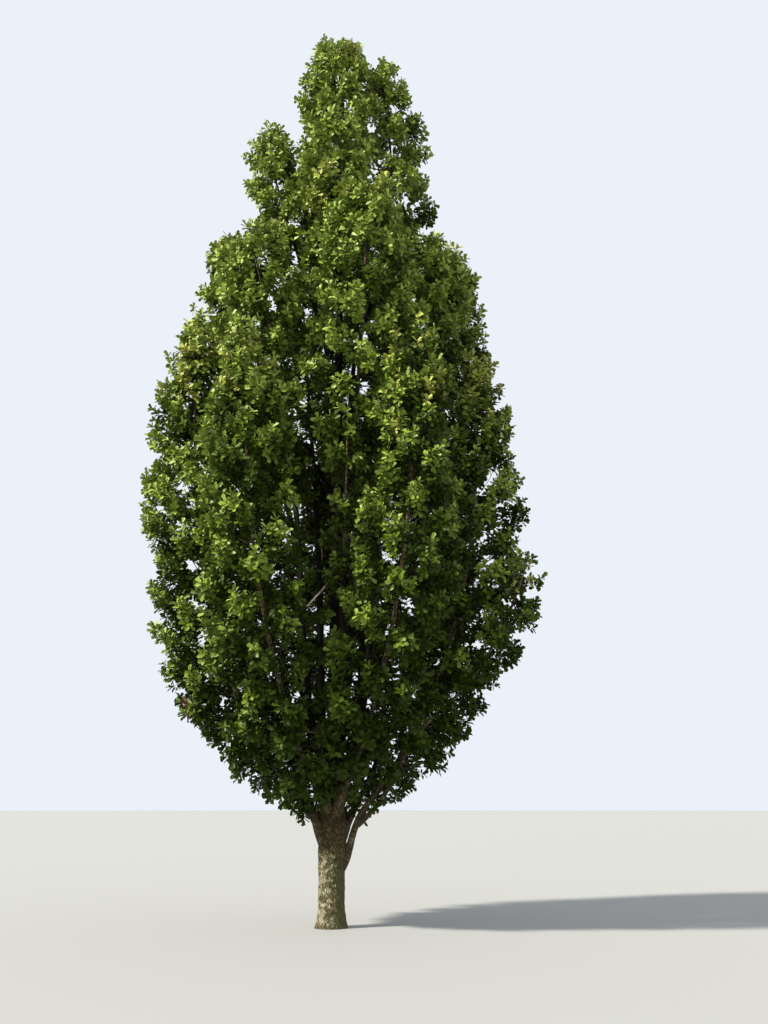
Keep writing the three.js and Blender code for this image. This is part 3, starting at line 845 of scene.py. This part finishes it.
def leaf_group():
    """Leaf blades: mottled colour and an uneven gloss."""
    group = bpy.data.node_groups.new("leaf_blade", "ShaderNodeTree")
    inlet, outlet = group_sockets(
        group,
        [
            ("Vector", "NodeSocketVector", None),
            ("Blade colour", "NodeSocketColor", (0.08, 0.14, 0.03, 1)),
            ("Shaded colour", "NodeSocketColor", (0.05, 0.09, 0.02, 1)),
            ("Roughness", "NodeSocketFloat", 0.5),
        ],
        [("Color", "NodeSocketColor"), ("Roughness", "NodeSocketFloat")],
    )
    patch = set_inputs(add_node(group, "ShaderNodeTexNoise"), Scale=14.0, Detail=2.0)
    speck = set_inputs(add_node(group, "ShaderNodeTexNoise"), Scale=90.0, Detail=3.0)
    for texture in (patch, speck):
        group.links.new(inlet.outputs["Vector"], texture.inputs["Vector"])
    specks = math_node(group, "MULTIPLY", speck.outputs["Fac"], 0.45)
    both = math_node(group, "ADD", specks, patch.outputs["Fac"])
    shade = ramp(group, 0.5, 0.95, both)
    colour = mix(group, shade, inlet.outputs["Shaded colour"], inlet.outputs["Blade colour"])
    group.links.new(colour, outlet.inputs["Color"])
    uneven = math_node(group, "MULTIPLY", math_node(group, "SUBTRACT", speck.outputs["Fac"], 0.5), 0.25)
    group.links.new(math_node(group, "ADD", inlet.outputs["Roughness"], uneven), outlet.inputs["Roughness"])
    return group


LEAF = leaf_group()


def leaf_material(name, blade, shaded, underside, roughness, gloss):
    material, tree, shader = new_material(name)
    where = add_node(tree, "ShaderNodeTexCoord")
    leaf = add_node(tree, "ShaderNodeGroup", node_tree=LEAF)
    tree.links.new(where.outputs["Object"], leaf.inputs["Vector"])
    leaf.inputs["Blade colour"].default_value = (*blade, 1)
    leaf.inputs["Shaded colour"].default_value = (*shaded, 1)
    leaf.inputs["Roughness"].default_value = roughness
    facing = add_node(tree, "ShaderNodeNewGeometry")
    colour = mix(tree, facing.outputs["Backfacing"], leaf.outputs["Color"], underside)
    tree.links.new(colour, shader.inputs["Base Color"])
    tree.links.new(leaf.outputs["Roughness"], shader.inputs["Roughness"])
    shader.inputs["Specular IOR Level"].default_value = gloss
    return material


# The first five tints are one leaf in steps from painted deep shade to painted sunlight
# Each tint: name, blade, shaded blade, underside, roughness and gloss
LEAF_TINTS = [
    ("leaf_deep_shade", (0.036, 0.062, 0.005), (0.025, 0.045, 0.003), (0.043, 0.065, 0.010),
     0.40, 0.1),
    ("leaf_shade", (0.068, 0.108, 0.008), (0.047, 0.080, 0.005), (0.072, 0.105, 0.017),
     0.41, 0.15),
    ("leaf_half_lit", (0.112, 0.172, 0.013), (0.078, 0.128, 0.009), (0.112, 0.156, 0.026),
     0.42, 0.2),
    ("leaf_lit", (0.176, 0.248, 0.024), (0.124, 0.184, 0.017), (0.160, 0.212, 0.040),
     0.43, 0.24),
    ("leaf_sunlit", (0.262, 0.348, 0.042), (0.186, 0.258, 0.029), (0.225, 0.285, 0.058),
     0.44, 0.26),
    ("leaf_tip", (0.390, 0.415, 0.070), (0.290, 0.325, 0.050), (0.315, 0.350, 0.090),
     0.48, 0.28),
    ("leaf_withered", (0.120, 0.048, 0.026), (0.078, 0.033, 0.018), (0.130, 0.062, 0.036),
     0.6, 0.15),
]
LEAF_MATERIALS = [leaf_material(*tint) for tint in LEAF_TINTS]
TWIG_MATERIAL = bark_material(
    "twig_bark", plates=70.0, plate=(0.10, 0.080, 0.050), furrow=(0.04, 0.032, 0.02),
    lichen_colour=(0.24, 0.22, 0.15), lichen=0.25, relief=0.001
)[0]
BOUGH_MATERIAL = bough_material()
# Near-white bare wood: pale dead wood, made lighter still as painted light for the branchlet in shade
BARE_WOOD_AND_LIGHT_MATERIAL = bark_material(
    "bare_wood_and_painted_light", plates=70.0, plate=(0.95, 0.80, 0.64), furrow=(0.72, 0.57, 0.43),
    lichen_colour=(0.92, 0.84, 0.70), lichen=0.2, relief=0.001
)[0]
TRUNK_MATERIAL = trunk_material()


# Trunk and limbs


def deselect_all():
    if bpy.context.object and bpy.context.object.mode != "OBJECT":
        bpy.ops.object.mode_set(mode="OBJECT")
    bpy.ops.object.select_all(action="DESELECT")


def drawn_up(name, sides, lengths, radii):
    """A straight round limb: a ring drawn up in steps, each scaled to its radius."""
    deselect_all()
    bpy.ops.mesh.primitive_circle_add(
        vertices=sides, radius=radii[0], fill_type="NGON", location=(0, 0, 0)
    )
    limb = bpy.context.object
    limb.name = name
    limb.data.name = name
    bpy.ops.object.mode_set(mode="EDIT")
    bpy.ops.transform.translate(value=(0, 0, lengths[0]))
    for k in range(1, len(lengths)):
        step = (0, 0, lengths[k] - lengths[k - 1])
        bpy.ops.mesh.extrude_region_move(TRANSFORM_OT_translate={"value": step})
        scale = radii[k] / radii[k - 1]
        bpy.ops.transform.resize(value=(scale, scale, 1), center_override=(0, 0, lengths[k]))
    bpy.ops.mesh.select_all(action="SELECT")
    bpy.ops.mesh.normals_make_consistent(inside=False)
    bpy.ops.object.mode_set(mode="OBJECT")
    return limb


def apply_modifiers(piece):
    deselect_all()
    piece.select_set(True)
    bpy.context.view_layer.objects.active = piece
    for modifier in list(piece.modifiers):
        bpy.ops.object.modifier_apply(modifier=modifier.name)


def add_relief(piece, name, kind, size, stretch, depth, middle, **settings):
    """Presses a pattern into the surface, drawn out along the limb. Returns the guide that sizes it."""
    texture = bpy.data.textures.new(name, kind)
    texture.noise_scale = 1.0
    for key, value in settings.items():
        setattr(texture, key, value)
    bpy.ops.object.empty_add(location=(0, 0, 0))
    guide = bpy.context.object
    guide.scale = (size, size, size * stretch)
    bpy.context.view_layer.update()
    relief = piece.modifiers.new(name, "DISPLACE")
    relief.texture = texture
    relief.texture_coords = "OBJECT"
    relief.texture_coords_object = guide
    relief.strength = depth
    relief.mid_level = middle
    return guide


# Furrows between long plates, and lumps and hollows under them
FURROWS = dict(kind="VORONOI", weight_1=-1.0, weight_2=1.0, middle=0.1)
LUMPS = dict(name="lumps", kind="CLOUDS", middle=0.36)
TRUNK_RELIEFS = [
    dict(name="furrows", size=0.026, stretch=4.6, depth=0.013, **FURROWS),
    dict(size=0.15, stretch=1.6, depth=0.024, **LUMPS),
]
TRUNK_ROUNDING = 2
BOUGH_RELIEFS = [
    dict(name="furrows", size=0.024, stretch=4.6, depth=0.006, **FURROWS),
    dict(size=0.12, stretch=2.2, depth=0.016, **LUMPS),
]
BOUGH_ROUNDING = 1


def bend_along(piece, corners):
    """Bends a straight limb along a chain of Bezier lines of four points each."""
    curve = bpy.data.curves.new(piece.name + "_line", "CURVE")
    curve.dimensions = "3D"
    curve.resolution_u = 32
    curve.use_stretch = True
    curve.use_deform_bounds = True
    spline = curve.splines.new("BEZIER")
    spline.bezier_points.add(len(corners))
    for k, point in enumerate(spline.bezier_points):
        before = corners[k - 1] if k else None
        after = corners[k] if k < len(corners) else None
        point.handle_left_type = point.handle_right_type = "FREE"
        point.co = after[0] if after is not None else before[3]
        point.handle_left = before[2] if before is not None else point.co
        point.handle_right = after[1] if after is not None else point.co
    guide = bpy.data.objects.new(curve.name, curve)
    bpy.context.collection.objects.link(guide)
    bend = piece.modifiers.new("bend", "CURVE")
    bend.object = guide
    bend.deform_axis = "POS_Z"
    return guide


def as_cubic(line):
    """The four points of a Bezier line given by three."""
    first, pull, last = line
    return np.array([first, first + (pull - first) * 2 / 3, last + (pull - last) * 2 / 3, last])


def line_length(corners):
    places = np.concatenate([bezier(line, np.linspace(0, 1, LENGTH_SAMPLES)) for line in corners])
    return float(np.linalg.norm(np.diff(places, axis=0), axis=1).sum())


def finish_limb(piece, reliefs, corners, material, levels):
    """Rounds a straight limb, presses the reliefs into it, bends it along its line and gives it its bark."""
    smooth = piece.modifiers.new("round", "SUBSURF")
    smooth.levels = smooth.render_levels = levels
    guides = [add_relief(piece, **relief) for relief in reliefs]
    guides.append(bend_along(piece, corners))
    apply_modifiers(piece)
    for guide in guides:
        bpy.data.objects.remove(guide)
    piece.data.materials.append(material)
    deselect_all()
    piece.select_set(True)
    bpy.context.view_layer.objects.active = piece
    bpy.ops.object.shade_smooth()


def trunk_radius(height):
    if height < SHOULDER_HEIGHT:
        taper = lerp((FOOT_RADIUS, SHOULDER_RADIUS), height / SHOULDER_HEIGHT)
    else:
        share = (height - SHOULDER_HEIGHT) / (TRUNK_HEIGHT - SHOULDER_HEIGHT)
        taper = lerp((SHOULDER_RADIUS, TOP_RADIUS), share)
    flare = math.exp(-max(height, 0) / FLARE_HEIGHT)
    swelling = SWELLING_DEPTH * math.exp(-(((height - SWELLING_HEIGHT) / SWELLING_SPREAD) ** 2))
    return taper + FLARE_DEPTH * flare + swelling


def trunk_rings(crown, shaft, leader, stem):
    """Places of the rings along the trunk, leader and crown's stem, and the radius of each."""
    shaft_length = line_length([shaft])
    leader_length = line_length([leader])
    total = line_length([shaft, leader, stem])
    lengths = list(np.arange(0, shaft_length, TRUNK_RING_STEP))
    lengths += list(np.arange(shaft_length, total, LEADER_RING_STEP))
    lengths.append(total)
    radii = []
    for length in lengths:
        if length < shaft_length:
            radii.append(trunk_radius(length - BELOW_GROUND))
        elif length < shaft_length + leader_length:
            radii.append(lerp(crown["radii"], (length - shaft_length) / leader_length))
        else:
            share = (length - shaft_length - leader_length) / (total - shaft_length - leader_length)
            radii.append(lerp((crown["radii"][1], STEM_TIP_RADIUS), share))
    return lengths, radii


def make_trunk():
    """Trunk, leader and the crown's stem as one mesh, cut flat at the ground."""
    crown = named["crown"]
    below = np.array([0, 0, -BELOW_GROUND])
    top = trunk_centre(TRUNK_HEIGHT)
    low, high = lerp((below, top), 1 / 3), lerp((below, top), 2 / 3)
    shaft = np.array([below, low * (0, 0, 1), high * (0.5, 0.5, 1), top])
    leader, stem = crown["bough"], as_cubic(crown["stem"])
    leader = np.array([top, *leader[1:]])
    lengths, radii = trunk_rings(crown, shaft, leader, stem)
    trunk = drawn_up("bark_trunk", TRUNK_SIDES, lengths, radii)
    for sign in (1, -1):
        spread_roots(trunk, lengths, sign)
    finish_limb(trunk, TRUNK_RELIEFS, [shaft, leader, stem], TRUNK_MATERIAL, TRUNK_ROUNDING)
    bpy.ops.object.mode_set(mode="EDIT")
    bpy.ops.mesh.select_all(action="SELECT")
    bpy.ops.mesh.bisect(plane_co=(0, 0, 0), plane_no=(0, 0, 1), use_fill=True, clear_inner=True)
    bpy.ops.object.mode_set(mode="OBJECT")
    return trunk


def spread_roots(trunk, lengths, sign):
    """Pulls the crests of the root flare out and pushes the bays between them in, ring by ring."""
    for length in lengths:
        height = length - BELOW_GROUND
        flare = math.exp(-max(height, 0) / FLARE_HEIGHT)
        if flare < LEAST_FLARE:
            break
        bpy.ops.object.mode_set(mode="OBJECT")
        for vertex in trunk.data.vertices:
            angle = math.atan2(vertex.co.y, vertex.co.x)
            crest = math.cos(ROOT_COUNT * angle + ROOT_TURN)
            in_ring = abs(vertex.co.z - length) < SAME_PLACE
            vertex.select = bool(in_ring and sign * crest > ROOT_CREST)
        bpy.ops.object.mode_set(mode="EDIT")
        bpy.ops.mesh.select_mode(type="VERT")
        scale = 1 + sign * ROOT_DEPTH * flare
        bpy.ops.transform.resize(value=(scale, scale, 1), center_override=(0, 0, length))
    bpy.ops.object.mode_set(mode="OBJECT")


def make_limb(plume):
    """A bough and the stem that it goes on into, with a collar where it leaves what carries it."""
    corners = [plume["bough"], as_cubic(plume["stem"])]
    total = line_length(corners)
    bough_length = line_length(corners[:1])
    if "off" in plume:
        carrier_radius = named[plume["off"]]["radii"][0] * CARRIER_THICKNESS
    else:
        carrier_radius = trunk_radius(plume["start"])
    emerges = carrier_radius / math.sin(math.radians(plume["lean"]))
    fine, coarse = BOUGH_RING_STEPS
    lengths = [*np.arange(0, BOUGH_FINE_LENGTH, fine), *np.arange(BOUGH_FINE_LENGTH, total, coarse), total]
    radii = []
    for length in lengths:
        if length < bough_length:
            radius = lerp(plume["radii"], length / bough_length)
        else:
            share = (length - bough_length) / (total - bough_length)
            radius = lerp((plume["radii"][1], STEM_TIP_RADIUS), share**STEM_TAPER)
        collar = COLLAR_SWELL * math.exp(-max(length - emerges, 0) / COLLAR_LENGTH)
        radii.append(radius * (1 + collar))
    limb = drawn_up("bark_" + plume["name"], BOUGH_SIDES, lengths, radii)
    finish_limb(limb, BOUGH_RELIEFS, corners, BOUGH_MATERIAL, BOUGH_ROUNDING)
    return limb


trunk = make_trunk()
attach(trunk, "root")
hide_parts("trunk", "bough_crown")
for plume in PLUMES:
    if plume["name"] == "crown":
        continue
    limb = make_limb(plume)
    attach(limb, "root")
    if plume["name"] not in INNER_PLUMES:
        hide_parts("bough_" + plume["name"])


# Foliage


def leaf_slots(grown):
    """A leaf material for each rosette: painted light outwards, upwards, on clump crests and sunward, painted
    shade low down; yellow where a plume tops out.
    """
    random = grown["random"]
    count = len(grown["own"])
    by_clump = random.normal(0, CLUMP_TINT, grown["clump"].max() + 1)[grown["clump"]]
    height = grown["tips"][:, 2] / TREE_HEIGHT
    # Painted light and shade: rosettes further out, higher up, on clump crests and facing the sunny way score
    # brighter tints; low ones and those to the right score darker
    score = grown["own"] * OUTER_PAINTED_LIGHT + height * HEIGHT_PAINTED_LIGHT + grown["crest"] * CREST_PAINTED_LIGHT
    clump_share = np.clip(height * CLUMP_TINT_RISE, CLUMP_TINT_LEAST, 1)
    score += by_clump * clump_share + random.normal(0, ROSETTE_TINT, count)
    score -= np.maximum(LOW_SHADE_TOP - height, 0) + grown["tips"][:, 0] * SUNNY_SIDE_TINT
    score += grown["sunny"] * SUNNY_WAY_TINT
    slots = np.digitize(score, TINT_STEPS)
    towards_tip = np.clip((grown["along"] - NEW_GROWTH_FROM) / NEW_GROWTH_SPREAD, 0, 1)
    shoot_tips = random.random(count) < NEW_GROWTH * towards_tip
    new_clumps = (random.random(grown["clump"].max() + 1) < NEW_CLUMPS)[grown["clump"]]
    new_clumps &= (random.random(count) < NEW_GROWTH) & (height > NEW_CLUMPS_FROM)
    outside = grown["own"] > NEW_GROWTH_OUTSIDE
    slots[(shoot_tips | new_clumps) & outside] = len(TINT_STEPS) + 1
    slots[np.linalg.norm(grown["tips"] - WITHERED_PLACE, axis=1) < WITHERED_REACH] = len(TINT_STEPS) + 2
    return slots


def twig_arrays(plume, grown):
    """All twigs, branchlets and shoots of a mass: places and triangles."""
    stem_radii = [lerp((plume["radii"][1], STEM_TIP_RADIUS), share) for share in grown["twig_shares"]]
    twig_radii = [tuple(part * radius for part in TWIG_RADIUS_SHARES) for radius in stem_radii]
    places, triangles = [], []
    offset = 0
    for lines, radii, count in (
        (grown["twigs"], twig_radii, TWIG_POINTS),
        (grown["branchlets"], [BRANCHLET_RADII] * len(grown["branchlets"]), BRANCHLET_POINTS),
        (grown["shoots"], [SHOOT_RADII] * len(grown["shoots"]), SHOOT_POINTS),
    ):
        part_places, part_triangles = spike_arrays(lines, radii, count)
        places.append(part_places)
        triangles.append(part_triangles + offset)
        offset += len(part_places)
    return np.concatenate(places), np.concatenate(triangles)


def make_bare_branchlet():
    places, triangles = spike_arrays([np.array(line) for line in BARE_LINES], BARE_RADII, BARE_POINTS)
    slots = np.repeat([0, 1], len(triangles) // len(BARE_LINES))
    branchlet = mesh_object("bare_branchlet", places, triangles, slots, [TWIG_MATERIAL, BARE_WOOD_AND_LIGHT_MATERIAL])
    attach(branchlet, "root")


make_bare_branchlet()
for index, plume in enumerate(PLUMES):
    grown = grow(plume, index)
    places, triangles = leaf_arrays(grown)
    slots = np.repeat(leaf_slots(grown), LEAVES_IN_ROSETTE * len(LEAF_FACES))
    leaves = mesh_object("leaves_" + plume["name"], places, triangles, slots, LEAF_MATERIALS)
    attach(leaves, "root")
    if plume["name"] not in INNER_PLUMES:
        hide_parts("foliage_" + plume["name"])
    places, triangles = twig_arrays(plume, grown)
    slots = np.zeros(len(triangles))
    twigs = mesh_object("twigs_" + plume["name"], places, triangles, slots, [TWIG_MATERIAL])
    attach(twigs, "root")


# Floor, light and camera


def plain_material(name, colour, roughness):
    material, _, shader = new_material(name)
    shader.inputs["Base Color"].default_value = (*colour, 1)
    shader.inputs["Roughness"].default_value = roughness
    return material


deselect_all()
bpy.ops.mesh.primitive_circle_add(vertices=96, radius=FLOOR_RADIUS, fill_type="NGON", location=(0, 0, 0))
floor = bpy.context.object
floor.name = "floor"
floor.data.materials.append(plain_material("pale_floor", FLOOR_COLOUR, 0.9))

world = bpy.data.worlds.new("pale_sky")
bpy.context.scene.world = world
world.use_nodes = True
background = world.node_tree.nodes["Background"]
background.inputs["Color"].default_value = (*SKY_COLOUR, 1)
background.inputs["Strength"].default_value = 1.0

sun_data = bpy.data.lights.new("sun", "SUN")
sun_data.energy = SUN_STRENGTH
sun_data.angle = SUN_SPREAD
sun_data.color = SUN_COLOUR
sun = bpy.data.objects.new("sun", sun_data)
bpy.context.collection.objects.link(sun)
sun.rotation_mode = "QUATERNION"
sun.rotation_quaternion = (-SUN_FROM).to_track_quat("-Z", "Y")

camera_data = bpy.data.cameras.new("camera")
camera_data.sensor_width = 36
camera_data.lens = CAMERA_LENS
camera_data.clip_end = 1000
camera = bpy.data.objects.new("camera", camera_data)
bpy.context.collection.objects.link(camera)
camera.location = CAMERA_PLACE
camera.rotation_euler = (CAMERA_TILT, 0, 0)
bpy.context.scene.camera = camera
bpy.context.scene.view_settings.view_transform = "Standard"
